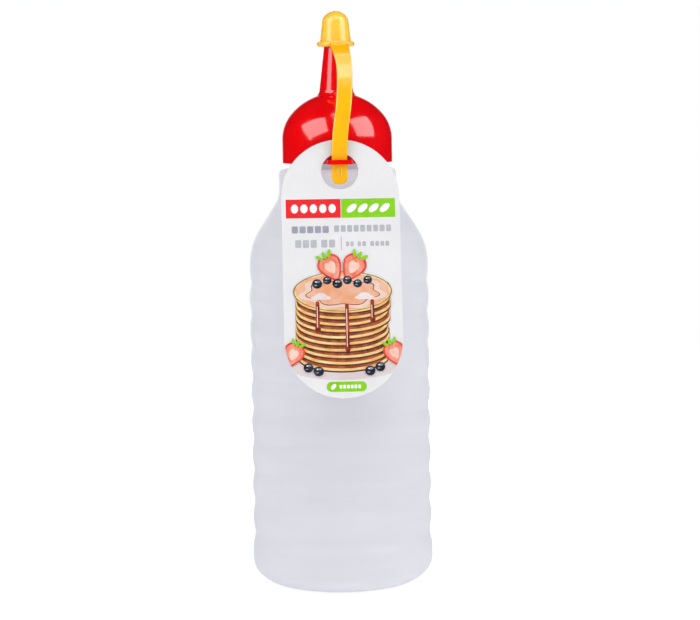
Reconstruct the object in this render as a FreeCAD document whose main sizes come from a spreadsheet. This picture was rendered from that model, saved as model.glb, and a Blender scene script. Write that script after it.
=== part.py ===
"""Half-litre sauce squeeze bottle with a screw-on nozzle cap, a tethered tip cap and a hang tag.

Millimetres, +Z up, the origin at the centre of the foot. The eyelet, strap and tag face -Y.
"""

import FreeCAD, Part

import math
import os

import Sketcher

XY = "XY_Plane"
XZ = "XZ_Plane"
YZ = "YZ_Plane"

DIMENSIONS = {
    # bottle: foot and ribbed wall
    "WallThick": 1.1,
    "CrestRadius": 35.0,
    "TopCrestRadius": 34.83,
    "GrooveDepth": 0.69,
    "GrooveCount": 9,
    "GroovePitch": 12.27,
    "FirstGroove": 20.4,
    "GrooveBend": 10.0,
    "PushUp": 3.2,
    "RestRing": 21.0,
    "RestWidth": 1.3,
    # bottle: shoulder, collar and neck
    "ShoulderBend": 26.5,
    "ShoulderSlope": 32.6,
    "CollarBend": 11.5,
    "CollarRadius": 22.8,
    "CollarTop": 162.3,
    "CollarRound": 1.8,
    "NeckRadius": 18.2,
    "NeckBore": 16.4,
    "NeckTop": 175.0,
    # screw thread
    "ThreadLead": 5.0,
    "ThreadReach": 1.35,
    "ThreadTurns": 1.3,
    "ThreadStart": 165.7,
    # sealing washer
    "WasherInner": 15.9,
    "WasherOuter": 19.7,
    "WasherThick": 1.2,
    # nozzle cap
    "SkirtRadius": 21.6,
    "SkirtInner": 20.1,
    "SkirtBottom": 164.6,
    "DomeStart": 173.7,
    "RoofBore": 15.8,
    "NozzleTaper": 7.0,
    "NozzleWall": 1.2,
    "NozzleTop": 219.6,
    "OrificeRadius": 1.5,
    # eyelet on the skirt
    "EyeletWidth": 9.7,
    "EyeletHeight": 1.8,
    "EyeletReach": 27.9,
    "SlotWidth": 6.7,
    "SlotNear": 22.9,
    "SlotFar": 26.6,
    # tip cap
    "FlangeRadius": 7.4,
    "FlangeBottom": 209.3,
    "FlangeThick": 2.1,
    "TipGap": 0.3,
    "PlugRadius": 1.2,
    "PlugLength": 2.4,
    # tether strap
    "StrapWidth": 5.9,
    "StrapThick": 1.15,
    "StrapRadius": 25.45,
    "StrapEnd": 157.1,
    "StrapCorner": 2.3,
    "StrapRootHeight": 210.3,
    # hang tag
    "TagWidth": 44.6,
    "TagLength": 99.3,
    "TagThick": 0.5,
    "TagLean": 15.8,
    "TagHole": 7.05,
    "TagAbove": 12.4,
    "TagHoleHeight": 161.85,
    "TagHoleReach": 25.8,
}

doc = FreeCAD.newDocument("SqueezeBottle")
sheet = doc.addObject("Spreadsheet::Sheet", "Dims")
for row, (alias, value) in enumerate(DIMENSIONS.items(), start=1):
    sheet.set(f"A{row}", alias)
    sheet.set(f"B{row}", str(value))
    sheet.setAlias(f"B{row}", alias)
doc.recompute()


def dim(alias):
    """The sheet's value of one driving dimension."""
    return float(sheet.get(alias))


def bind(thing, prop, expression):
    """Binds one property of a feature to the sheet."""
    thing.setExpression(prop, expression.replace("@", "Dims."))


class Outline:
    """An open run of lines and tangent arcs, drawn like a pen: heading 0 is along the first axis, 90 along the second."""

    def __init__(self, x, y, heading):
        self.at = (x, y)
        self.heading = heading
        self.edges = []

    def line(self, length):
        """A straight run along the heading."""
        turn = math.radians(self.heading)
        return self.to(self.at[0] + length * math.cos(turn), self.at[1] + length * math.sin(turn))

    def to(self, x, y):
        """A straight run to a point."""
        if math.dist(self.at, (x, y)) > 1e-6:
            self.edges.append((self.at, (x, y)))
            self.heading = math.degrees(math.atan2(y - self.at[1], x - self.at[0]))
            self.at = (x, y)
        return self

    def face(self, heading):
        """Turns on the spot, for a sharp corner."""
        self.heading = heading
        return self

    def arc(self, radius, turn):
        """A tangent arc: a positive turn goes left, a negative one right."""
        side = math.copysign(90.0, turn)
        out = math.radians(self.heading + side)
        centre = (self.at[0] + radius * math.cos(out), self.at[1] + radius * math.sin(out))

        def point(share):
            angle = math.radians(self.heading - side + turn * share)
            return (centre[0] + radius * math.cos(angle), centre[1] + radius * math.sin(angle))

        start = self.at
        self.at = point(1.0)
        self.edges.append((start, point(0.5), self.at))
        self.heading += turn
        return self

    def close(self):
        """A straight run back to the first point."""
        return self.to(*self.edges[0][0])


def geometry(edges):
    """Sketch geometry for an outline's edges."""
    made = []
    for edge in edges:
        points = [FreeCAD.Vector(x, y, 0) for x, y in edge]
        made.append(Part.LineSegment(*points) if len(points) == 2 else Part.Arc(*points))
    return made


def origin_part(body, role):
    """One of a body's own origin planes or axes."""
    return next(item for item in body.Origin.OriginFeatures if item.Role == role)


def new_body(label):
    body = doc.addObject("PartDesign::Body", label)
    body.Label = label
    return body


def sketch(body, name, plane, edges):
    """A sketch of one closed outline on one of the body's origin planes."""
    drawn = body.newObject("Sketcher::SketchObject", name)
    drawn.AttachmentSupport = [(origin_part(body, plane), "")]
    drawn.MapMode = "FlatFace"
    drawn.addGeometry(geometry(edges), False)
    doc.recompute()
    return drawn


def revolve(body, name, outline):
    """Turns an outline in the XZ plane once round the Z axis."""
    feature = body.newObject("PartDesign::Revolution", name)
    feature.Profile = sketch(body, name + "Profile", XZ, outline.close().edges)
    feature.ReferenceAxis = (origin_part(body, "Z_Axis"), [""])
    feature.Angle = 360
    doc.recompute()
    return feature


def pad(body, name, plane, edges, length, midplane=False):
    """Extrudes a closed outline by a bound length."""
    feature = body.newObject("PartDesign::Pad", name)
    feature.Profile = sketch(body, name + "Profile", plane, edges)
    bind(feature, "Length", length)
    if midplane:
        feature.SideType = "Symmetric"
    doc.recompute()
    return feature


def thread(body, name, root, crest, bottom, turns):
    """A trapezoidal thread ridge of the shared lead, from its root radius to its crest radius."""
    flank = 0.45
    base = 2.0
    ridge = Outline(root, bottom, 0).to(crest, bottom + flank).to(crest, bottom + base - flank)
    ridge.to(root, bottom + base).close()
    feature = body.newObject("PartDesign::AdditiveHelix", name)
    feature.Profile = sketch(body, name + "Profile", XZ, ridge.edges)
    feature.ReferenceAxis = (origin_part(body, "Z_Axis"), [""])
    feature.Mode = 0
    bind(feature, "Pitch", "@ThreadLead")
    bind(feature, "Height", f"@ThreadLead * {turns}")
    doc.recompute()
    return feature


# ---------------------------------------------------------------- bottle

GROOVES = int(dim("GrooveCount"))
HALF_PITCH = dim("GroovePitch") / 2
FOOT_CORNER = ((14.6, 45.0), (8.9, 45.0))


def rib(outline, crest, groove, reach, offset, rising):
    """Half a rib between a crest and a groove: two tangent arcs, the groove's of the bend radius."""
    half_turn = math.atan2(crest - groove, reach)
    turn = math.degrees(2 * half_turn)
    both = reach / math.sin(2 * half_turn)
    bend = dim("GrooveBend")
    convex = (both - bend - offset, turn)
    concave = (bend + offset, -turn)
    for radius, angle in (convex, concave) if rising else (concave, convex):
        outline.arc(radius, angle)


def body_wall(offset):
    """The bottle's wall from the axis under the base to the collar, moved inward by the offset."""
    ring = dim("RestRing")
    rise = dim("PushUp")
    tilt = 2 * math.degrees(math.atan2(rise, ring))
    both = ring / math.sin(math.radians(tilt))
    dome = 60.0
    wall = Outline(0, rise + offset, 0)
    wall.arc(dome + offset, -tilt)
    wall.arc(both - dome - offset, tilt)
    wall.line(dim("RestWidth"))
    for radius, turn in FOOT_CORNER:
        wall.arc(radius - offset, turn)
    first = dim("FirstGroove")
    wall.to(wall.at[0], first - HALF_PITCH)
    groove = dim("CrestRadius") - dim("GrooveDepth")
    foot = wall.at[0] + offset
    rib(wall, foot, groove, HALF_PITCH, offset, True)
    for index in range(GROOVES):
        top = dim("TopCrestRadius") if index == GROOVES - 1 else dim("CrestRadius")
        rib(wall, top, groove, HALF_PITCH, offset, False)
        if index < GROOVES - 1:
            rib(wall, top, groove, HALF_PITCH, offset, True)
    slope = dim("ShoulderSlope")
    wall.arc(dim("ShoulderBend") - offset, slope)
    bend = dim("CollarBend")
    curve = (bend + offset) * (1 - math.cos(math.radians(slope)))
    drop = wall.at[0] - (dim("CollarRadius") - offset) - curve
    wall.line(drop / math.sin(math.radians(slope)))
    wall.arc(bend + offset, -slope)
    return wall


def make_bottle():
    body = new_body("bottle")
    corner = dim("CollarRound")
    thick = dim("WallThick")
    outer = body_wall(0.0)
    outer.to(outer.at[0], dim("CollarTop") - corner).arc(corner, 90)
    root_round = 0.8
    outer.to(dim("NeckRadius") + root_round, dim("CollarTop")).arc(root_round, -90)
    rim_round = 0.5
    outer.to(dim("NeckRadius"), dim("NeckTop") - rim_round).arc(rim_round, 90)
    outer.to(dim("NeckBore") + rim_round, dim("NeckTop")).arc(rim_round, 90)
    inner = body_wall(thick)
    inner.to(inner.at[0], dim("CollarTop") - corner - thick).arc(corner, 90)
    inner.to(dim("NeckBore") + root_round, inner.at[1]).arc(root_round, -90)
    outer.to(*inner.at)
    for edge in reversed(inner.edges):
        outer.edges.append(tuple(reversed(edge)))
    outer.at = inner.edges[0][0]
    revolve(body, "Shell", outer)
    overlap = 0.3
    crest = dim("NeckRadius") + dim("ThreadReach")
    thread(body, "NeckThread", dim("NeckRadius") - overlap, crest, dim("ThreadStart"), dim("ThreadTurns"))
    return body


# ---------------------------------------------------------------- sealing washer


def make_washer():
    body = new_body("sealing_washer")
    bottom = dim("NeckTop")
    top = bottom + dim("WasherThick")
    ring = Outline(dim("WasherInner"), bottom, 0).to(dim("WasherOuter"), bottom)
    ring.to(dim("WasherOuter"), top).to(dim("WasherInner"), top)
    revolve(body, "Ring", ring)
    return body


# ---------------------------------------------------------------- nozzle cap

DOME_ARCS = ((15.5, 40.0), (23.0, 28.0))
THROAT_ROUND = 2.4


def dome_and_nozzle(radius, bottom, offset):
    """The cap's face from the skirt over the dome and up the tapered nozzle, moved inward by the offset."""
    face = Outline(radius, bottom, 90).to(radius, dim("DomeStart"))
    turned = 0.0
    for bend, turn in DOME_ARCS:
        face.arc(bend - offset, turn)
        turned += turn
    straight = 0.92
    face.line(straight)
    face.arc(THROAT_ROUND + offset, dim("NozzleTaper") - turned)
    return face


def nozzle_radius(height):
    """Outer radius of the nozzle's cone at a height."""
    foot = dome_and_nozzle(dim("SkirtRadius"), dim("SkirtBottom"), 0.0).at
    return foot[0] - (height - foot[1]) * math.tan(math.radians(dim("NozzleTaper")))


def make_nozzle_cap():
    body = new_body("nozzle_cap")
    lip = 0.35
    top = dim("NozzleTop")
    wall = dim("NozzleWall")
    outer = dome_and_nozzle(dim("SkirtRadius"), dim("SkirtBottom") + lip, 0.0)
    tip_round = 0.4
    taper = dim("NozzleTaper")
    outer.to(nozzle_radius(top - tip_round), top - tip_round)
    outer.arc(tip_round, 90 - taper)
    outer.to(dim("OrificeRadius"), top)
    end_wall = 2.0
    outer.to(dim("OrificeRadius"), top - end_wall)
    outer.to(nozzle_radius(top - end_wall) - wall, top - end_wall)
    bore = dome_and_nozzle(dim("SkirtInner"), dim("SkirtBottom") + lip, dim("SkirtRadius") - dim("SkirtInner"))
    outer.to(nozzle_radius(bore.at[1]) - wall, bore.at[1])
    outer.to(*bore.at)
    for edge in reversed(bore.edges):
        outer.edges.append(tuple(reversed(edge)))
    outer.at = bore.edges[0][0]
    outer.face(270).arc(lip, 90)
    outer.to(dim("SkirtRadius") - lip, dim("SkirtBottom")).arc(lip, 90)
    revolve(body, "Shell", outer)
    roof = dim("NeckTop") + dim("WasherThick")
    seat_thick = 1.8
    buried = dim("SkirtInner") + 0.3
    seat = Outline(dim("RoofBore"), roof, 0).to(buried, roof).to(buried, roof + seat_thick)
    seat.to(dim("RoofBore"), roof + seat_thick)
    revolve(body, "WasherSeat", seat)
    overlap = 0.3
    clearance = 0.35
    ridge = 2.0
    bottom = dim("ThreadStart") - ridge - clearance + dim("ThreadLead")
    crest = dim("SkirtInner") - dim("ThreadReach")
    thread(body, "CapThread", dim("SkirtInner") + overlap, crest, bottom, 0.95)
    eyelet(body)
    return body


def eyelet(body):
    """The small flat loop on the front of the skirt, flush with its lower edge."""
    half = dim("EyeletWidth") / 2
    reach = dim("EyeletReach")
    buried = 20.9
    corner = 0.7
    loop = Outline(-half, -buried, -90).line(reach - buried - corner).arc(corner, 90)
    loop.line(2 * (half - corner)).arc(corner, 90).to(half, -buried).close()
    bar = pad(body, "EyeletLoop", XY, loop.edges, "@EyeletHeight")
    bar.Profile[0].AttachmentOffset = FreeCAD.Placement(
        FreeCAD.Vector(0, 0, dim("SkirtBottom")), FreeCAD.Rotation()
    )
    slot_half = dim("SlotWidth") / 2
    near = dim("SlotNear")
    far = dim("SlotFar")
    round_off = 0.5
    slot = Outline(-slot_half, -near, -90).line(far - near - round_off).arc(round_off, 90)
    slot.line(2 * (slot_half - round_off)).arc(round_off, 90).to(slot_half, -near).close()
    cut = body.newObject("PartDesign::Pocket", "EyeletSlot")
    cut.Profile = sketch(body, "EyeletSlotProfile", XY, slot.edges)
    cut.Profile[0].AttachmentOffset = FreeCAD.Placement(
        FreeCAD.Vector(0, 0, dim("SkirtBottom") - 1), FreeCAD.Rotation()
    )
    bind(cut, "Length", "@EyeletHeight + 2")
    cut.Reversed = True
    before = bar.Shape.Volume
    doc.recompute()
    removed = bar.Shape.Volume - cut.Shape.Volume
    print("eyelet slot removed", round(removed, 2), "of", round(before, 2))
    if removed < 20:
        raise RuntimeError("the eyelet slot cuts nothing")


# ---------------------------------------------------------------- tip cap


def make_tip_cap():
    body = new_body("tip_cap")
    bottom = dim("FlangeBottom")
    rim = 0.95
    step = dim("FlangeThick")
    gap = dim("TipGap")
    face = Outline(nozzle_radius(bottom) + gap + rim, bottom, 0)
    face.to(dim("FlangeRadius") - rim, bottom).arc(rim, 90)
    face.to(dim("FlangeRadius"), bottom + step - rim).arc(rim, 90)
    body_foot = 6.0
    hollow = 0.35
    face.to(body_foot + hollow, bottom + step).arc(hollow, -(90 - 6.5))
    side = 7.2
    face.line(side)
    face.arc(4.5, 40.0)
    cap_slope = math.radians(180 - face.heading)
    remaining = face.at[0] / math.sin(cap_slope)
    face.arc(remaining, 180 - face.heading)
    print("tip cap top at", round(face.at[1], 2))
    roof = dim("NozzleTop") + gap
    face.to(0, roof - dim("PlugLength"))
    plug = dim("PlugRadius")
    bevel = 0.5
    face.to(plug - bevel, roof - dim("PlugLength")).to(plug, roof - dim("PlugLength") + bevel)
    face.to(plug, roof).to(nozzle_radius(roof) + gap, roof)
    face.to(nozzle_radius(bottom + rim) + gap, bottom + rim)
    revolve(body, "Shell", face)
    return body


# ---------------------------------------------------------------- tether strap


def strap_side(offset):
    """The strap seen from the side, from its root on the flange outward and down to its end."""
    start = dim("FlangeRadius") - 0.6
    side = Outline(-start, dim("StrapRootHeight") + offset, 180)
    first = 62.0
    side.line(0.6)
    side.arc(12.0 + offset, first)
    far = dim("StrapRadius") - start - 0.6 - 12.0 * math.sin(math.radians(first))
    bend = far / (1 - math.sin(math.radians(first)))
    side.arc(bend + offset, 90 - first)
    return side


def make_strap():
    half_thick = dim("StrapThick") / 2
    half = dim("StrapWidth") / 2
    outer = strap_side(half_thick)
    inner = strap_side(-half_thick)
    end = dim("StrapEnd") - 1
    outer.to(outer.at[0], end).to(inner.at[0], end).to(*inner.at)
    for edge in reversed(inner.edges):
        outer.edges.append(tuple(reversed(edge)))
    outer.at = inner.edges[0][0]
    side_body = new_body("strap_side_view")
    pad(side_body, "SideBand", YZ, outer.close().edges, "@StrapWidth * 3", midplane=True)

    corner = dim("StrapCorner")
    tail = dim("StrapEnd") + corner
    straight_top = 166.0
    bow = 2.65
    bow_top = 199.0
    sweep = 2 * math.degrees(math.atan2(bow, bow_top - straight_top))
    bend = (bow_top - straight_top) / 2 / math.sin(math.radians(sweep))
    root_top = 212.0
    front = Outline(half, tail, 90).to(half, straight_top)
    front.arc(bend - half, -sweep).arc(bend + half, sweep)
    right_bend = 54.0
    front.arc(right_bend, math.degrees(math.asin((root_top - bow_top) / right_bend)))
    left = Outline(-half, tail, 90).to(-half, straight_top)
    left.arc(bend + half, -sweep).arc(bend - half, sweep)
    left_bend = 27.0
    left.arc(left_bend, math.degrees(math.asin((root_top - bow_top) / left_bend)))
    front.to(*left.at)
    for edge in reversed(left.edges):
        front.edges.append(tuple(reversed(edge)))
    front.at = left.edges[0][0]
    front.face(-90).arc(corner, 90).line(2 * (half - corner)).arc(corner, 90)
    front_body = new_body("strap_front_view")
    pad(front_body, "FrontBand", XZ, front.edges, "@StrapRadius * 2.4", midplane=True)

    band = doc.addObject("Part::Common", "StrapBand")
    band.Base = side_body
    band.Tool = front_body
    flange = doc.addObject("Part::Cylinder", "FlangeCutter")
    bind(flange, "Radius", "@FlangeRadius")
    flange.Height = 10
    flange.Placement.Base = FreeCAD.Vector(0, 0, 205)
    trimmed = doc.addObject("Part::Cut", "StrapTrimmed")
    trimmed.Base = band
    trimmed.Tool = flange
    front_half = doc.addObject("Part::Box", "FrontHalf")
    bind(front_half, "Length", "@StrapRadius * 2")
    bind(front_half, "Width", "@StrapRadius * 2")
    bind(front_half, "Height", "@NozzleTop")
    bind(front_half, "Placement.Base.x", "-@StrapRadius")
    bind(front_half, "Placement.Base.y", "-@StrapRadius * 2")
    strap = doc.addObject("Part::Common", "StrapFront")
    strap.Base = trimmed
    strap.Tool = front_half
    doc.recompute()
    last = strap
    for side in (-1, 1):
        tooth = doc.addObject("Part::Box", f"GripRib{side + 2}")
        tooth.Length = 0.7
        tooth.Width = 0.45
        tooth.Height = 3.7
        tooth.Placement.Base = FreeCAD.Vector(
            side * 0.75 - 0.35, -dim("StrapRadius") - half_thick - 0.25, dim("StrapEnd") + 3.1
        )
        joined = doc.addObject("Part::Fuse", f"StrapWithRib{side + 2}")
        joined.Base = last
        joined.Tool = tooth
        last = joined
    doc.recompute()
    last.Label = "tether_strap"
    return last


# ---------------------------------------------------------------- hang tag


def make_tag():
    body = new_body("hang_tag")
    half = dim("TagWidth") / 2
    above = dim("TagAbove")
    top_bend = half
    straight = dim("TagLength") - 2 * half
    card = Outline(half, above - top_bend, 90).arc(top_bend, 180)
    card.line(straight).arc(half, 180).close()
    pad(body, "Card", XZ, card.edges, "@TagThick")
    hole = body.newObject("PartDesign::Pocket", "PunchedHole")
    circle = body.newObject("Sketcher::SketchObject", "HoleCircle")
    circle.AttachmentSupport = [(origin_part(body, XZ), "")]
    circle.MapMode = "FlatFace"
    circle.addGeometry(Part.Circle(FreeCAD.Vector(), FreeCAD.Vector(0, 0, 1), dim("TagHole")), False)
    circle.addConstraint(Sketcher.Constraint("Radius", 0, dim("TagHole")))
    circle.setExpression("Constraints[0]", "Dims.TagHole")
    hole.Profile = circle
    hole.Type = "ThroughAll"
    hole.Midplane = True
    doc.recompute()
    body.Placement = FreeCAD.Placement(
        FreeCAD.Vector(0, -dim("TagHoleReach"), dim("TagHoleHeight")),
        FreeCAD.Rotation(FreeCAD.Vector(1, 0, 0), -dim("TagLean")),
    )
    return body


PARTS = [make_bottle(), make_washer(), make_nozzle_cap(), make_tip_cap(), make_strap(), make_tag()]
doc.recompute()

for thing in doc.Objects:
    if "Invalid" in thing.State or "Error" in thing.State:
        raise RuntimeError(f"{thing.Name} did not build: {thing.State}")

os.makedirs("parts", exist_ok=True)
for thing in PARTS:
    shape = thing.Shape
    if shape.isNull() or not shape.isValid():
        raise RuntimeError(f"{thing.Label} has no valid shape")
    box = shape.optimalBoundingBox()
    low = [round(v, 2) for v in (box.XMin, box.YMin, box.ZMin)]
    high = [round(v, 2) for v in (box.XMax, box.YMax, box.ZMax)]
    print(f"{thing.Label:16s} solids {len(shape.Solids)} volume {shape.Volume:10.1f} {low} {high}")
    shape.exportStep(f"parts/{thing.Label}.step")
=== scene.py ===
"""Looks of a sauce squeeze bottle: milky bottle, red nozzle cap, yellow tip cap on a strap, printed hang tag.

Metres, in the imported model's frame: +Z up, the eyelet, strap and tag face -Y.
"""

import math
import random

import bmesh
import bpy
from mathutils import Matrix, Quaternion, Vector


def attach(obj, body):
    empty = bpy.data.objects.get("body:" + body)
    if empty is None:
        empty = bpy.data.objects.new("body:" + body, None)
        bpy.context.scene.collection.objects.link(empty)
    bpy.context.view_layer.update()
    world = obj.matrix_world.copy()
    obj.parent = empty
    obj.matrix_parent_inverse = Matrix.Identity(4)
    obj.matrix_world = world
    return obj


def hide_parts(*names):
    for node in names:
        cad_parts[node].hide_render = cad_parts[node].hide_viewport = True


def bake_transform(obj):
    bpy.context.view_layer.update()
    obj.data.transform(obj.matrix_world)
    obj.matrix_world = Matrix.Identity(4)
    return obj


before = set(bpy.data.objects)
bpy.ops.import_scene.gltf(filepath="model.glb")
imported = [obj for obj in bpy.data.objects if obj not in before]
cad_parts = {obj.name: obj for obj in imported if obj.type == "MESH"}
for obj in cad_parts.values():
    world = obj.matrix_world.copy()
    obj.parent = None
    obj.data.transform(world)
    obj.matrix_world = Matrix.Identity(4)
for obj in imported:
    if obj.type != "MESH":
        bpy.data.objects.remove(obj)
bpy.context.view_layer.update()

MM = 0.001
random.seed(7)


# ---------------------------------------------------------------- node helpers


RANGE_SOCKETS = ("From Min", "From Max", "To Min", "To Max")
NOISE_SPAN = (0.3, 0.7)  # where most of a noise's values lie


class Shader:
    """A material with one Principled surface and a few ways to feed it."""

    def __init__(self, name):
        self.material = bpy.data.materials.new(name)
        self.material.use_nodes = True
        self.tree = self.material.node_tree
        self.surface = self.tree.nodes["Principled BSDF"]
        self.place = self.node("ShaderNodeTexCoord").outputs["Object"]
        self.bumps = []

    def node(self, kind, **settings):
        made = self.tree.nodes.new(kind)
        for key, value in settings.items():
            setattr(made, key, value)
        return made

    def join(self, source, target):
        self.tree.links.new(source, target)

    def set(self, **values):
        """Sets sockets by name, with underscores for spaces."""
        for key, value in values.items():
            self.surface.inputs[key.replace("_", " ")].default_value = value

    def noise(self, scale, detail=3.0, roughness=0.55, stretch=(1, 1, 1)):
        """Noise in object space; scale is in features per metre."""
        mapping = self.node("ShaderNodeMapping")
        mapping.inputs["Scale"].default_value = stretch
        self.join(self.place, mapping.inputs["Vector"])
        noise = self.node("ShaderNodeTexNoise")
        noise.inputs["Scale"].default_value = scale
        noise.inputs["Detail"].default_value = detail
        noise.inputs["Roughness"].default_value = roughness
        self.join(mapping.outputs[0], noise.inputs["Vector"])
        return noise.outputs["Fac"]

    def math(self, operation, first, second=None):
        made = self.node("ShaderNodeMath", operation=operation)
        for socket, value in zip(made.inputs, (first, second)):
            if isinstance(value, (int, float)):
                socket.default_value = value
            elif value is not None:
                self.join(value, socket)
        return made.outputs[0]

    def mix(self, first, share, second):
        """Adds two values, each weighted: share for the first and the rest for the second."""
        weighted = (self.math("MULTIPLY", first, share), self.math("MULTIPLY", second, 1 - share))
        return self.math("ADD", *weighted)

    def spread(self, source, low, high, to_low=0.0, to_high=1.0):
        """Rescales a value between two levels."""
        made = self.node("ShaderNodeMapRange")
        for key, value in zip(RANGE_SOCKETS, (low, high, to_low, to_high)):
            made.inputs[key].default_value = value
        self.join(source, made.inputs["Value"])
        return made.outputs["Result"]

    def ramp(self, source, stops):
        made = self.node("ShaderNodeValToRGB")
        elements = made.color_ramp.elements
        while len(elements) < len(stops):
            elements.new(0.5)
        for element, (level, colour) in zip(elements, stops):
            element.position = level
            element.color = (*colour, 1.0)
        self.join(source, made.inputs["Fac"])
        return made.outputs["Color"]

    def colour(self, source, *stops):
        """Colours the surface by a value's ramp through a few stops of level and colour."""
        self.join(self.ramp(source, stops), self.surface.inputs["Base Color"])

    def roughness(self, source, low, high):
        """Varies the roughness between two levels with a noise."""
        self.join(self.spread(source, *NOISE_SPAN, low, high), self.surface.inputs["Roughness"])

    def bump(self, height, distance, strength=1.0):
        """Adds relief: the height's 0 to 1 stands for the distance in metres."""
        made = self.node("ShaderNodeBump")
        made.inputs["Distance"].default_value = distance
        made.inputs["Strength"].default_value = strength
        self.join(height, made.inputs["Height"])
        if self.bumps:
            self.join(self.bumps[-1], made.inputs["Normal"])
        self.bumps.append(made.outputs["Normal"])
        self.join(self.bumps[-1], self.surface.inputs["Normal"])

    def axis(self, name):
        """One coordinate of the place, in metres."""
        split = self.node("ShaderNodeSeparateXYZ")
        self.join(self.place, split.inputs[0])
        return split.outputs[name]


# ---------------------------------------------------------------- plastics, liner and card


PAINTED_WALL_GLOW = 0.28  # painted glow: emission all over the bottle that stands in for light coming through the thin milky wall
PAINTED_COLLAR_LIGHT = 0.14  # painted light: more glow at the collar's front, seen through the tag's hole, to lighten the shade the tag casts there
# colour of the bottle's painted glow
PAINTED_GLOW_TINT = (0.93, 0.92, 1.0, 1.0)
SEAM_HALF_WIDTHS = (0.0001, 0.0005)
# where the collar's painted light fades in: heights, then depths towards the front
COLLAR_LIGHT_RISE = (0.146, 0.152)
COLLAR_LIGHT_FRONT = (-0.0212, -0.0190)


def milky_plastic():
    """Blown, slightly translucent plastic: cloudy, satin, with a faint mould seam and a small painted glow
    (emission), stronger at the collar's front where the tag shades it.
    """
    shader = Shader("milky_plastic")
    cloud = shader.noise(14, 3, 0.6)
    streak = shader.noise(22, 2, 0.5, stretch=(0.8, 0.8, 9))
    shader.colour(
        shader.mix(cloud, 0.55, streak),
        (0.32, (0.400, 0.403, 0.440)),
        (0.52, (0.425, 0.426, 0.462)),
        (0.72, (0.455, 0.455, 0.488)),
    )
    shader.roughness(shader.noise(90, 4), 0.36, 0.46)
    seam = shader.math("ABSOLUTE", shader.axis("Y"))
    shader.bump(shader.spread(seam, *SEAM_HALF_WIDTHS, 1.0, 0.0), 0.00012)
    shader.bump(shader.noise(420, 3), 0.00002)
    shader.bump(shader.noise(38, 2, 0.5, stretch=(1, 1, 1.6)), 0.00035)
    shader.set(Subsurface_Weight=1.0, Subsurface_Scale=0.0009, Specular_IOR_Level=0.45, IOR=1.5)
    # painted light on the collar's front, inside the tag's shade
    front = shader.spread(shader.axis("Y"), *COLLAR_LIGHT_FRONT, 1.0, 0.0)
    collar = shader.spread(shader.axis("Z"), *COLLAR_LIGHT_RISE, 0.0, PAINTED_COLLAR_LIGHT)
    # the bottle's painted glow: emission standing in for the wall's light, plus the collar's painted light
    glow = shader.math("ADD", shader.math("MULTIPLY", front, collar), PAINTED_WALL_GLOW)
    shader.join(glow, shader.surface.inputs["Emission Strength"])
    shader.set(Subsurface_Radius=(1.0, 1.0, 1.0), Emission_Color=PAINTED_GLOW_TINT)
    return shader.material


def moulded(name, dark, light, rough, specular, coat, subsurface=0.06):
    """Injection-moulded plastic: even colour with slow drift, faint flow marks and a fine skin."""
    shader = Shader(name)
    drift = shader.noise(45, 2, 0.5)
    flow = shader.noise(60, 3, 0.6, stretch=(1, 1, 0.18))
    shader.colour(shader.mix(drift, 0.5, flow), (0.35, dark), (0.65, light))
    shader.roughness(shader.noise(140, 4), rough - 0.03, rough + 0.04)
    shader.bump(shader.noise(260, 3), 0.00001)
    shader.set(Subsurface_Weight=subsurface, Subsurface_Scale=0.002, Subsurface_Radius=(1.0, 0.5, 0.3))
    shader.set(Specular_IOR_Level=specular, IOR=1.5, Coat_Weight=coat, Coat_Roughness=0.04, Coat_IOR=1.5)
    return shader.material


def foam_liner():
    """Soft white liner with a fine closed-cell skin."""
    shader = Shader("foam_liner")
    cells = shader.node("ShaderNodeTexVoronoi")
    cells.inputs["Scale"].default_value = 1800
    shader.join(shader.place, cells.inputs["Vector"])
    shader.colour(shader.noise(300, 3), (0.3, (0.78, 0.78, 0.75)), (0.7, (0.88, 0.88, 0.86)))
    shader.bump(cells.outputs["Distance"], 0.00005)
    shader.set(Roughness=0.7)
    return shader.material


def coated_card():
    """White coated card with a faint fibre tooth."""
    shader = Shader("coated_card")
    fibre = shader.noise(900, 4, 0.7, stretch=(1, 1, 0.35))
    mottled = shader.noise(70, 3, 0.5)
    shader.colour(shader.mix(fibre, 0.4, mottled), (0.35, (0.655, 0.655, 0.668)), (0.65, (0.695, 0.695, 0.708)))
    shader.roughness(shader.noise(200, 3), 0.40, 0.50)
    shader.bump(fibre, 0.00001)
    shader.set(Specular_IOR_Level=0.4)
    return shader.material


def ink(name, dark, light, scale=260, rough=0.38, stretch=(1, 1, 1)):
    """Printed colour with the slight mottle of ink on card."""
    shader = Shader(name)
    mottled = shader.noise(scale, 4, 0.65, stretch=stretch)
    shader.colour(mottled, (0.36, dark), (0.64, light))
    shader.roughness(shader.noise(500, 2), rough - 0.03, rough + 0.05)
    shader.bump(shader.noise(900, 3), 0.000005)
    shader.set(Specular_IOR_Level=0.4)
    return shader.material


def give(node, material):
    """Puts one material on every slot of a carried-over node."""
    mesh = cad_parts[node].data
    if not mesh.materials:
        mesh.materials.append(material)
    for index in range(len(mesh.materials)):
        mesh.materials[index] = material


RED = moulded("red_plastic", (0.77, 0.0, 0.004), (0.86, 0.0, 0.002), 0.13, 0.9, 0.8)
YELLOW = moulded("yellow_plastic", (0.98, 0.425, 0.0), (1.0, 0.505, 0.001), 0.23, 0.8, 0.5, subsurface=0.2)
# a lit copy of the strap's yellow plastic: painted lighter to stand in for the light that the tip cap and grip
# ribs catch, with more subsurface
LIT_YELLOW = moulded(
    "yellow_plastic_painted_lit", (0.98, 0.52, 0.035), (1.0, 0.605, 0.07), 0.24, 0.8, 0.5, subsurface=0.3
)
give("bottle", milky_plastic())
give("nozzle_cap", RED)
# the tip cap gets the lit copy of the yellow: its paler colour is painted highlight
give("tip_cap", LIT_YELLOW)
give("sealing_washer", foam_liner())
give("hang_tag", coated_card())


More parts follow.
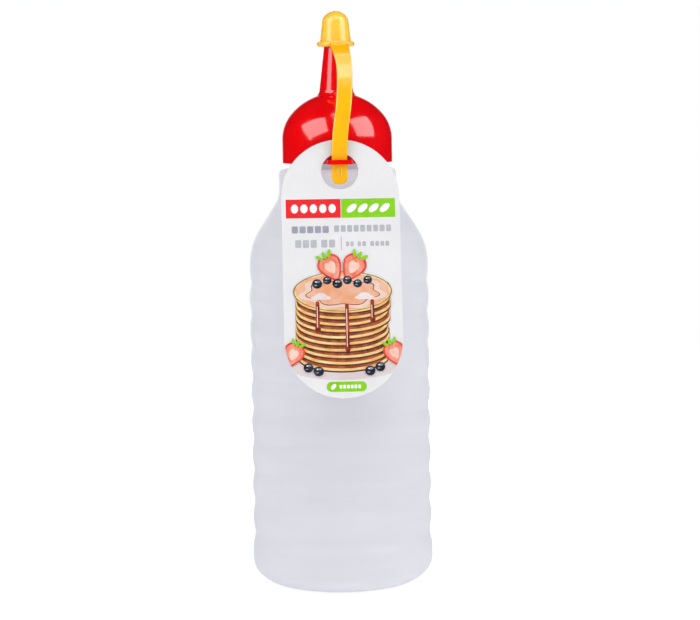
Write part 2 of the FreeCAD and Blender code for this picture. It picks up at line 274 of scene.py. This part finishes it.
def new_piece(name, mesh_maker, material, smooth=True):
    """Builds a mesh object from a bmesh."""
    mesh = bpy.data.meshes.new(name)
    mesh_maker.to_mesh(mesh)
    mesh_maker.free()
    mesh.materials.append(material)
    for face in mesh.polygons:
        face.use_smooth = smooth
    piece = bpy.data.objects.new(name, mesh)
    bpy.context.scene.collection.objects.link(piece)
    return piece


# ---------------------------------------------------------------- tether strap

# millimetres from here on, until a piece is built
STRAP_HALF = 2.95
STRAP_THICK = 1.15
STRAP_RADIUS = 25.45
STRAP_END = 157.1
STRAP_CORNER = 2.3
STRAP_BEVEL = 0.42
FLANGE_RADIUS = 7.4
ROOT_HEIGHT = 210.3
ROOT_START = 6.7
FIRST_BEND = 12.0
FIRST_TURN = math.radians(62)
STRAIGHT_TOP = 166.0
BOW = 2.65
BOW_TOP = 199.0
LEFT_FLARE = 27.0
RIGHT_FLARE = 54.0
UPRIGHT = math.pi / 2
BEND_STEPS = 22
SWEEP_STEPS = 30
STRAIGHT_STEPS = 10
TAIL_STEPS = 14
NEARLY_ALL = 0.9995  # stops short of the tail's very end, where the width would be nothing
SHARP_EDGE = math.radians(24)
RIB_OFFSET = 0.75
RIB_HALF = 0.35
RIB_BOTTOM = 3.1
RIB_TOP = 6.8
RIB_LIFT = 0.25
RIB_SUNK = 0.2
RIB_SEGMENTS = 8


def strap_edges(height):
    """The strap's left and right edge at a height: straight low down, then bowed, flared at the root."""
    tail_centre = STRAP_END + STRAP_CORNER
    if height < tail_centre:
        rounded = max(STRAP_CORNER**2 - (tail_centre - height) ** 2, 0.0)
        half = STRAP_HALF - STRAP_CORNER + math.sqrt(rounded)
        return -half, half
    if height <= STRAIGHT_TOP:
        return -STRAP_HALF, STRAP_HALF
    if height <= BOW_TOP:
        share = (height - STRAIGHT_TOP) / (BOW_TOP - STRAIGHT_TOP)
        middle = BOW * (2 * share**2 if share < 0.5 else 1 - 2 * (1 - share) ** 2)
        return middle - STRAP_HALF, middle + STRAP_HALF
    above = height - BOW_TOP
    left = BOW - STRAP_HALF - LEFT_FLARE + math.sqrt(LEFT_FLARE**2 - above**2)
    right = BOW + STRAP_HALF - RIGHT_FLARE + math.sqrt(RIGHT_FLARE**2 - above**2)
    return left, right


def strap_line():
    """Points down the strap's middle from the flange to its end: radius, height and slope below level."""
    points = [(ROOT_START, ROOT_HEIGHT, 0.0), (FLANGE_RADIUS, ROOT_HEIGHT, 0.0)]
    for step in range(1, BEND_STEPS + 1):
        turn = FIRST_TURN * step / BEND_STEPS
        radius = FLANGE_RADIUS + FIRST_BEND * math.sin(turn)
        height = ROOT_HEIGHT - FIRST_BEND * (1 - math.cos(turn))
        points.append((radius, height, turn))
    start_radius, start_height, _ = points[-1]
    bend = (STRAP_RADIUS - start_radius) / (1 - math.sin(FIRST_TURN))
    for step in range(1, SWEEP_STEPS + 1):
        turn = FIRST_TURN + (UPRIGHT - FIRST_TURN) * step / SWEEP_STEPS
        radius = start_radius + bend * (math.sin(turn) - math.sin(FIRST_TURN))
        height = start_height - bend * (math.cos(FIRST_TURN) - math.cos(turn))
        points.append((radius, height, turn))
    bottom = points[-1][1]
    tail_top = STRAP_END + STRAP_CORNER
    for step in range(1, STRAIGHT_STEPS + 1):
        points.append((STRAP_RADIUS, bottom + (tail_top - bottom) * step / STRAIGHT_STEPS, UPRIGHT))
    for step in range(1, TAIL_STEPS + 1):
        angle = UPRIGHT * step / TAIL_STEPS
        points.append((STRAP_RADIUS, tail_top - STRAP_CORNER * math.sin(angle) * NEARLY_ALL, UPRIGHT))
    return points


def make_strap():
    """The flexible strap: a bevelled band, bowed to one side, ending in a round tab."""
    maker = bmesh.new()
    bevel = STRAP_BEVEL
    half_thick = STRAP_THICK / 2
    rings = []
    for radius, height, slope in strap_line():
        left, right = strap_edges(height)
        edge = min(bevel, (right - left) / 2 * 0.6)
        across = Vector((0, -math.sin(slope), math.cos(slope)))
        centre = Vector((0, -radius, height))
        outline = []
        for x, depth in (
            (left + edge, half_thick),
            (right - edge, half_thick),
            (right - edge * 0.15, half_thick - bevel * 0.5),
            (right, half_thick - bevel),
            (right, bevel - half_thick),
            (right - edge, -half_thick),
            (left + edge, -half_thick),
            (left, bevel - half_thick),
            (left, half_thick - bevel),
            (left + edge * 0.15, half_thick - bevel * 0.5),
        ):
            point = centre + across * depth + Vector((x, 0, 0))
            outline.append(maker.verts.new(point * MM))
        rings.append(outline)
    for above, below in zip(rings, rings[1:]):
        for index in range(len(above)):
            after = (index + 1) % len(above)
            maker.faces.new((above[index], above[after], below[after], below[index]))
    maker.faces.new(reversed(rings[0]))
    maker.faces.new(rings[-1])
    bmesh.ops.recalc_face_normals(maker, faces=maker.faces)
    strap = new_piece("strap", maker, YELLOW)
    modifier = strap.modifiers.new("edges", "EDGE_SPLIT")
    modifier.split_angle = SHARP_EDGE
    return strap


def rounded_bar(maker, low, high, lift):
    """A raised rib with a half-round top and ends, standing out towards -Y."""
    radius = (high[0] - low[0]) / 2
    middle = (low[0] + high[0]) / 2
    levels = (
        (low[2], 0.35),
        (low[2] + radius * 0.5, 0.85),
        (low[2] + radius, 1.0),
        (high[2] - radius, 1.0),
        (high[2] - radius * 0.5, 0.85),
        (high[2], 0.35),
    )
    sections = []
    for height, size in levels:
        ring = []
        for step in range(RIB_SEGMENTS + 1):
            angle = math.pi * step / RIB_SEGMENTS
            x = middle - radius * size * math.cos(angle)
            y = low[1] - lift * size * math.sin(angle)
            ring.append(maker.verts.new(Vector((x, y, height)) * MM))
        ring.append(maker.verts.new(Vector((middle, low[1] + RIB_SUNK, height)) * MM))
        sections.append(ring)
    for lower, upper in zip(sections, sections[1:]):
        for index in range(len(lower)):
            after = (index + 1) % len(lower)
            maker.faces.new((lower[index], lower[after], upper[after], upper[index]))
    maker.faces.new(reversed(sections[0]))
    maker.faces.new(sections[-1])


def make_grip_ribs():
    """Two raised ribs on the tab's front."""
    maker = bmesh.new()
    face = -(STRAP_RADIUS + STRAP_THICK / 2)
    for side in (-1, 1):
        middle = side * RIB_OFFSET
        low = (middle - RIB_HALF, face, STRAP_END + RIB_BOTTOM)
        high = (middle + RIB_HALF, face, STRAP_END + RIB_TOP)
        rounded_bar(maker, low, high, RIB_LIFT)
    bmesh.ops.recalc_face_normals(maker, faces=maker.faces)
    # the ribs get the lit copy of the yellow: their paler colour is painted highlight
    return new_piece("strap_grip_ribs", maker, LIT_YELLOW)


strap = make_strap()
ribs = make_grip_ribs()
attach(ribs, "cap_body")
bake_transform(strap)
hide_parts("tether_strap")

# ---------------------------------------------------------------- the tag's print

LEAN = math.radians(15.8)
HOLE = Vector((0, -25.8, 161.85))
DOWN = Vector((0, -math.sin(LEAN), -math.cos(LEAN)))
OUT = Vector((0, -math.cos(LEAN), math.sin(LEAN)))
FACE = 0.5  # the card's front; HOLE is on its back
FIRST_LAYER = 0.02
LAYER = 0.01
SUNK = 0.25
CARD_HALF = 22.3
CARD_END = 64.6  # where the card's round end begins
MARGIN = 0.25
CLOSEST = 0.02  # points nearer than this are merged


def turned(u, v, x, y, tilt):
    """A point at x, y from u, v, turned about it."""
    turn = math.radians(tilt)
    return u + x * math.cos(turn) - y * math.sin(turn), v + x * math.sin(turn) + y * math.cos(turn)


def ellipse(u, v, a, b, start=0.0, stop=360.0, steps=48, tilt=0.0):
    """Points round an ellipse, or part of one, on the card: u to the right, v down from the hole."""
    points = []
    full = abs(stop - start) >= 360
    for step in range(steps if full else steps + 1):
        angle = math.radians(start + (stop - start) * step / steps)
        points.append(turned(u, v, a * math.cos(angle), b * math.sin(angle), tilt))
    return points


def rounded_box(u0, v0, u1, v1, radius):
    """Points round a rectangle with round corners."""
    corners = (
        (u1 - radius, v1 - radius, 0),
        (u0 + radius, v1 - radius, 90),
        (u0 + radius, v0 + radius, 180),
        (u1 - radius, v0 + radius, 270),
    )
    points = []
    for corner_u, corner_v, start in corners:
        points += ellipse(corner_u, corner_v, radius, radius, start, start + 90, 6)
    return points


def blob(corners, steps=5):
    """A smooth closed outline through a few corners: a Catmull-Rom curve."""
    points = []
    count = len(corners)
    for index in range(count):
        around = [corners[(index + k) % count] for k in (-1, 0, 1, 2)]
        for step in range(steps):
            t = step / steps
            weights = (
                -t**3 / 2 + t**2 - t / 2,
                1.5 * t**3 - 2.5 * t**2 + 1,
                -1.5 * t**3 + 2 * t**2 + t / 2,
                t**3 / 2 - t**2 / 2,
            )
            points.append(tuple(sum(w * p[axis] for w, p in zip(weights, around)) for axis in (0, 1)))
    return points


def on_card(u, v):
    """Keeps a point inside the card's edge."""
    below = min(max(v - CARD_END, 0.0), CARD_HALF - MARGIN)
    limit = math.sqrt(CARD_HALF**2 - below**2) - MARGIN
    return max(-limit, min(limit, u)), v


class Print:
    """Flat closed shapes of one ink, each a thin solid standing on the card's face."""

    def __init__(self, name, material):
        self.name = name
        self.material = material
        self.maker = bmesh.new()

    def corners(self, points, lift):
        """New vertices for an outline, at a distance out from the card's back."""
        places = [(HOLE + Vector((u, 0, 0)) + DOWN * v + OUT * lift) * MM for u, v in points]
        return [self.maker.verts.new(place) for place in places]

    def add(self, points, layer):
        """One closed shape, trimmed to the card; a higher layer covers a lower one."""
        kept = []
        for point in (on_card(u, v) for u, v in points):
            if not kept or math.dist(point, kept[-1]) > CLOSEST:
                kept.append(point)
        low = self.corners(kept, FACE - SUNK)
        high = self.corners(kept, FACE + FIRST_LAYER + LAYER * layer)
        for index in range(len(kept)):
            after = (index + 1) % len(kept)
            self.maker.faces.new((low[index], low[after], high[after], high[index]))
        self.maker.faces.new(reversed(low))
        self.maker.faces.new(high)

    def finish(self):
        bmesh.ops.recalc_face_normals(self.maker, faces=self.maker.faces)
        piece = new_piece(self.name, self.maker, self.material, smooth=False)
        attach(piece, "tag_body")


PALETTE = {
    "red": ink("ink_red", (0.70, 0.008, 0.014), (0.78, 0.012, 0.020)),
    "green": ink("ink_green", (0.19, 0.50, 0.001), (0.22, 0.58, 0.003)),
    "white": ink("ink_white", (0.80, 0.80, 0.81), (0.86, 0.86, 0.86)),
    "bold": ink("ink_bold_grey", (0.26, 0.26, 0.33), (0.32, 0.32, 0.39)),
    "thin": ink("ink_thin_grey", (0.38, 0.38, 0.43), (0.44, 0.44, 0.49)),
    "plate": ink("ink_plate", (0.58, 0.50, 0.51), (0.64, 0.58, 0.59), 60),
    "crust": ink("ink_crust", (0.68, 0.34, 0.09), (0.80, 0.63, 0.30), 330, stretch=(0.4, 1, 2)),
    "gap": ink("ink_gap", (0.06, 0.012, 0.007), (0.15, 0.03, 0.014), 300),
    "baked": ink("ink_baked", (0.17, 0.026, 0.010), (0.42, 0.11, 0.035), 300),
    "top": ink("ink_top", (0.70, 0.30, 0.15), (0.71, 0.43, 0.32), 110),
    "pale": ink("ink_pale", (0.68, 0.49, 0.40), (0.70, 0.56, 0.48), 130),
    "syrup": ink("ink_syrup", (0.14, 0.016, 0.012), (0.42, 0.08, 0.03), 320, 0.2),
    "gleam": ink("ink_gleam", (0.64, 0.54, 0.54), (0.72, 0.66, 0.66), 200),
    "berry": ink("ink_berry", (0.004, 0.004, 0.009), (0.022, 0.027, 0.05), 380),
    "bloom": ink("ink_bloom", (0.12, 0.14, 0.20), (0.30, 0.33, 0.40), 420),
    "flesh": ink("ink_flesh", (0.74, 0.14, 0.085), (0.76, 0.32, 0.24), 380, stretch=(1, 1, 0.5)),
    "heart": ink("ink_heart", (0.75, 0.42, 0.34), (0.78, 0.58, 0.50), 300),
    "skin": ink("ink_skin", (0.56, 0.026, 0.018), (0.68, 0.09, 0.04), 420),
}

BAND_TOP = 10.7
BAND_BOTTOM = 18.0
# rows of blocks: ink, left end, a block's width, the gap, how many, top, bottom
BLOCK_ROWS = (
    ("bold", -18.6, 2.35, 0.55, 5, 21.1, 23.8),
    ("thin", -2.6, 1.85, 0.6, 9, 20.9, 23.5),
    ("thin", -17.4, 2.3, 0.6, 3, 26.4, 29.4),
    ("thin", -7.6, 2.3, 0.6, 2, 26.4, 29.4),
    ("thin", 1.7, 1.2, 0.5, 2, 27.2, 29.1),
    ("thin", 6.1, 1.3, 0.5, 2, 27.2, 29.1),
    ("thin", 10.9, 1.4, 0.5, 4, 27.2, 29.1),
)
STACK_CAKES = 10
STACK_LOW = 71.0
STACK_STEP = 2.45
STACK_HALF = 17.4
STACK_DEPTH = 5.6
TOP_CENTRE = (0.0, 46.4)
TOP_HALVES = (18.2, 7.4)
RUN_START = 2.7
# a strawberry's half, from its tip round the leafy end, about one unit in size
STRAWBERRY = (
    (0.0, 1.15),
    (-0.62, 0.45),
    (-0.86, -0.35),
    (-0.45, -0.9),
    (0.0, -0.74),
    (0.45, -0.9),
    (0.86, -0.35),
    (0.62, 0.45),
)

# a berry's shapes in its own size: ink, aside, down, half-width, half-height, steps, layer
BERRY_SHAPES = (
    ("berry", 0.0, 0.0, 1.0, 0.95, 28, 0),
    ("bloom", 0.1, -0.42, 0.55, 0.22, 20, 1),
    ("bloom", -0.3, 0.3, 0.32, 0.13, 16, 1),
    ("white", -0.25, -0.38, 0.16, 0.12, 14, 2),
)


def add_words(layers):
    """The two-colour band, rows of small grey blocks where words would stand, and the green pill."""
    middle = (BAND_TOP + BAND_BOTTOM) / 2
    for ink_name, left, right in (("red", -20.7, 0.0), ("green", 0.25, 20.6)):
        box = [(left, BAND_TOP), (right, BAND_TOP), (right, BAND_BOTTOM), (left, BAND_BOTTOM)]
        layers[ink_name].add(box, 0)
    for index in range(5):
        layers["white"].add(ellipse(-17.4 + 3.55 * index, middle, 1.35, 1.7), 1)
    for index in range(4):
        layers["white"].add(ellipse(4.2 + 4.15 * index, middle, 2.25, 1.2, tilt=-40), 1)
    for ink_name, start, width, gap, count, v0, v1 in BLOCK_ROWS:
        for index in range(count):
            u0 = start + index * (width + gap)
            layers[ink_name].add(rounded_box(u0, v0, u0 + width, v1, 0.45), 0)
    layers["thin"].add(rounded_box(-0.2, 25.2, 0.15, 30.6, 0.15), 0)
    layers["green"].add(rounded_box(-6.8, 80.6, 8.2, 84.4, 1.85), 1)
    layers["white"].add(ellipse(-4.2, 82.5, 1.25, 0.75, tilt=-50), 2)
    for index in range(6):
        layers["white"].add(rounded_box(-2.0 + 1.4 * index, 81.8, -1.0 + 1.4 * index, 83.2, 0.3), 2)


def add_cakes(layers):
    """A plain round stack on a plate: each cake's shadow, edge and baked face, then the upper side."""
    layers["plate"].add(ellipse(0, 73.4, 23.0, 6.6), 0)
    layer = 1
    for index in range(STACK_CAKES):
        shift = random.uniform(-0.5, 0.5)
        half = STACK_HALF + random.uniform(-0.5, 0.4)
        level = STACK_LOW - STACK_STEP * index
        closing = [(shift + half, level - STACK_DEPTH), (shift - half, level - STACK_DEPTH)]
        for ink_name, lift, narrow in (("gap", -0.6, -0.1), ("crust", 0.0, 0.0), ("baked", 0.95, 0.35)):
            front = ellipse(shift, level - lift, half - narrow, STACK_DEPTH, 180, 0, 40)
            layers[ink_name].add(front + closing, layer)
            layer += 1
    u, v = TOP_CENTRE
    a, b = TOP_HALVES
    for ink_name, inset in (("gap", -0.3), ("crust", 0.0), ("top", 0.7)):
        layers[ink_name].add(ellipse(u, v, a - inset, b - inset * 0.7), layer)
        layer += 1
    return layer


def wavy_ring(u, v, a, b, waves, depth):
    """A closed outline that winds in and out round an ellipse."""
    points = []
    for step in range(72):
        angle = math.radians(5 * step)
        reach = 1 + depth * math.sin(waves * angle)
        points.append((u + a * reach * math.cos(angle), v + b * reach * math.sin(angle)))
    return points


def add_syrup(layers, layer):
    """A pool of syrup with a pale gleam on the top cake, and three runs down the front."""
    u, v = TOP_CENTRE
    for ink_name, a, b in (("pale", 15.6, 6.0), ("syrup", 13.2, 4.9), ("top", 12.8, 4.6)):
        layers[ink_name].add(wavy_ring(u, v + 0.4, a, b, 7, 0.09), layer)
        layer += 1
    for side in (-1, 1):
        layers["gleam"].add(wavy_ring(u + side * 8.2, v + 2.0, 3.4, 1.3, 3, 0.2), layer)
    for run_u, low in ((-9.5, 60.5), (1.5, 68.0), (11.0, 57.0)):
        high = v + TOP_HALVES[1] * math.sqrt(1 - (run_u / TOP_HALVES[0]) ** 2) - RUN_START
        glint = rounded_box(run_u - 0.35, high + 2.0, run_u - 0.05, low - 0.5, 0.14)
        layers["syrup"].add(rounded_box(run_u - 0.7, high, run_u + 0.7, low, 0.65), layer)
        layers["syrup"].add(ellipse(run_u, low, 1.05, 1.5, steps=24), layer + 1)
        layers["gleam"].add(glint, layer + 2)
    return layer + 3


def add_strawberry(layers, layer, u, v, size, tilt):
    """A halved strawberry with its leaves; the tip points down before it is tilted."""
    for step, (ink_name, share) in enumerate((("skin", 1.0), ("flesh", 0.84), ("heart", 0.46))):
        scale = size * share
        outline = blob([turned(u, v, scale * x, scale * y, tilt) for x, y in STRAWBERRY])
        layers[ink_name].add(outline, layer + step)
    for lean in (-35, 0, 35):
        place = turned(u, v, size * lean / 90, -0.95 * size, tilt)
        leaf = ellipse(*place, size * 0.3, size * 0.12, steps=20, tilt=tilt + 90 + lean)
        layers["green"].add(leaf, layer + 3)


def add_berry(layers, layer, u, v, size):
    """A dark round berry with a dull bloom and a glint."""
    for ink_name, aside, down, wide, high, steps, above in BERRY_SHAPES:
        shape = ellipse(u + size * aside, v + size * down, size * wide, size * high, steps=steps)
        layers[ink_name].add(shape, layer + above)


def add_fruit(layers, layer):
    """Two strawberry halves and a row of berries on the top, and more of both at the plate's two sides."""
    for side in (-1, 1):
        add_strawberry(layers, layer, side * 4.3, 37.0, 5.2, side * 28)
        add_strawberry(layers, layer, side * 18.9, 70.0, 4.6, side * -24)
        for u, v, size in ((13.4, 75.2, 1.8), (9.6, 76.6, 1.9)):
            add_berry(layers, layer, side * u, v, size)
    for index in range(6):
        u = -9.5 + 3.8 * index
        v = 43.4 - 1.3 * (index % 2)
        add_berry(layers, layer + 4, u, v, random.uniform(1.6, 1.9))


def make_print():
    """The card's printed face: a two-colour band, plain blocks, a stack of cakes with fruit, a pill."""
    layers = {name: Print("print_" + name, material) for name, material in PALETTE.items()}
    add_words(layers)
    layer = add_syrup(layers, add_cakes(layers))
    add_fruit(layers, layer)
    for shapes in layers.values():
        shapes.finish()


make_print()

# ---------------------------------------------------------------- floor, light and camera

FLOOR_RADIUS = 0.85
FLOOR_GLOW = 0.42
FAR_GLOW = 0.5  # added with distance, only as the eye sees the floor
FAR_SPAN = (0.12, 0.5)
FLOOR_SHINE = 0.05  # the floor's glow and paint as glossy pieces mirror it
FLOOR_MIRRORED = (0.28, 0.28, 0.28, 1.0)
WHITE = (1.0, 1.0, 1.0, 1.0)
ROOM_SPAN = (0.4, 1.0)
ROOM_LIGHT = (0.34, 0.75)
MIRROR_SPAN = (0.87, 1.0)
MIRROR_LIGHT = (0.01, 1.7)
LIGHT_TARGET = Vector((0, 0, 0.17))
BOX_LIGHT = 2.6
# the colour sockets of a Mix node, which share their names with its other sockets
MIX_A = 6
MIX_B = 7
MIX_RESULT = 2


def make_floor():
    """A pale round floor that glows a little, so that it stays near white; reflections see it darker."""
    maker = bmesh.new()
    bmesh.ops.create_circle(maker, cap_ends=True, segments=96, radius=FLOOR_RADIUS)
    shader = Shader("pale_floor")
    away = shader.node("ShaderNodeVectorMath", operation="LENGTH")
    shader.join(shader.place, away.inputs[0])
    path = shader.node("ShaderNodeLightPath")
    paint = shader.node("ShaderNodeMix", data_type="RGBA")
    shader.join(path.outputs["Is Glossy Ray"], paint.inputs["Factor"])
    pale = shader.ramp(shader.noise(3, 2), ((0.3, (0.82, 0.82, 0.825)), (0.7, (0.85, 0.85, 0.85))))
    shader.join(pale, paint.inputs[MIX_A])
    paint.inputs[MIX_B].default_value = FLOOR_MIRRORED
    shader.join(paint.outputs[MIX_RESULT], shader.surface.inputs["Base Color"])
    shader.set(Roughness=0.7, Specular_IOR_Level=0.2, Emission_Color=WHITE)
    farther = shader.spread(away.outputs["Value"], *FAR_SPAN, 0.0, FAR_GLOW)
    seen = shader.math("MULTIPLY", farther, path.outputs["Is Camera Ray"])
    dimmed = shader.spread(path.outputs["Is Glossy Ray"], 0.0, 1.0, FLOOR_GLOW, FLOOR_SHINE)
    shader.join(shader.math("ADD", dimmed, seen), shader.surface.inputs["Emission Strength"])
    floor = new_piece("floor", maker, shader.material, smooth=False)


def make_world():
    """A white room: brighter at the back for diffuse light, and bright only at the back in reflections."""
    world = bpy.data.worlds.new("studio")
    bpy.context.scene.world = world
    world.use_nodes = True
    tree = world.node_tree
    background = tree.nodes["Background"]
    background.inputs["Color"].default_value = WHITE
    path = tree.nodes.new("ShaderNodeLightPath")
    coordinates = tree.nodes.new("ShaderNodeTexCoord")
    split = tree.nodes.new("ShaderNodeSeparateXYZ")
    tree.links.new(coordinates.outputs["Generated"], split.inputs[0])

    def towards_back(span, light):
        """A value that grows from front to back with the direction's Y."""
        made = tree.nodes.new("ShaderNodeMapRange")
        for key, value in zip(RANGE_SOCKETS, (*span, *light)):
            made.inputs[key].default_value = value
        made.interpolation_type = "SMOOTHSTEP"
        tree.links.new(split.outputs["Y"], made.inputs["Value"])
        return made.outputs["Result"]

    def pick(switch, otherwise, chosen):
        """One value for a kind of ray, and another for all the others."""
        mix = tree.nodes.new("ShaderNodeMix")
        tree.links.new(path.outputs[switch], mix.inputs["Factor"])
        for socket, value in ((mix.inputs["A"], otherwise), (mix.inputs["B"], chosen)):
            if isinstance(value, float):
                socket.default_value = value
            else:
                tree.links.new(value, socket)
        return mix.outputs["Result"]

    room = towards_back(ROOM_SPAN, ROOM_LIGHT)
    mirrored = towards_back(MIRROR_SPAN, MIRROR_LIGHT)
    lit = pick("Is Glossy Ray", room, mirrored)
    tree.links.new(pick("Is Camera Ray", lit, 1.0), background.inputs["Strength"])


def softbox(name, azimuth, elevation, distance, width, height, radiance, roll=0.0):
    """A rectangular light facing the cap; azimuth 0 is on the camera's side, positive to its right."""
    a = math.radians(azimuth)
    e = math.radians(elevation)
    away = Vector((math.sin(a) * math.cos(e), -math.cos(a) * math.cos(e), math.sin(e)))
    light = bpy.data.lights.new(name, "AREA")
    light.shape = "RECTANGLE"
    light.size = width
    light.size_y = height
    light.energy = radiance * math.pi * width * height
    lamp = bpy.data.objects.new(name, light)
    lamp.location = LIGHT_TARGET + away * distance
    aim = away.to_track_quat("Z", "Y") @ Quaternion((0, 0, 1), math.radians(roll))
    lamp.rotation_euler = aim.to_euler()
    bpy.context.scene.collection.objects.link(lamp)


def make_camera():
    """The eye about a metre away, a little above the bottle's middle and just left of its front."""
    yaw = math.radians(-2.1)
    pitch = math.radians(5.052)
    roll = -0.0145
    before_yaw = Vector((0.0041, -0.99339, 0.19475))
    camera = bpy.data.cameras.new("camera")
    camera.sensor_width = 36.0
    camera.sensor_fit = "HORIZONTAL"
    camera.lens = 131.3
    camera.clip_start = 0.05
    eye = bpy.data.objects.new("camera", camera)
    turn = Matrix.Rotation(yaw, 4, "Z")
    place = turn @ before_yaw
    tilt = Matrix.Rotation(math.pi / 2 - pitch, 4, "X") @ Matrix.Rotation(roll, 4, "Z")
    eye.matrix_world = Matrix.Translation(place) @ turn @ tilt
    bpy.context.scene.collection.objects.link(eye)
    bpy.context.scene.camera = eye


make_floor()
make_world()
# name, azimuth, elevation, distance, width, height, radiance
softbox("left_box", -55, 32, 1.1, 0.96, 0.92, BOX_LIGHT, roll=38.6)
softbox("right_box", 62.6, 31, 1.1, 0.87, 1.0, BOX_LIGHT * 1.05, roll=-5.5)
softbox("front_top_box", 10, 48, 1.2, 0.5, 0.21, 4.3)
softbox("front_high_box", 10, 67, 1.2, 0.5, 0.56, 1.2)
softbox("top_box", 0, 78, 1.2, 0.22, 0.12, 2.4)
make_camera()
bpy.context.scene.view_settings.view_transform = "Standard"
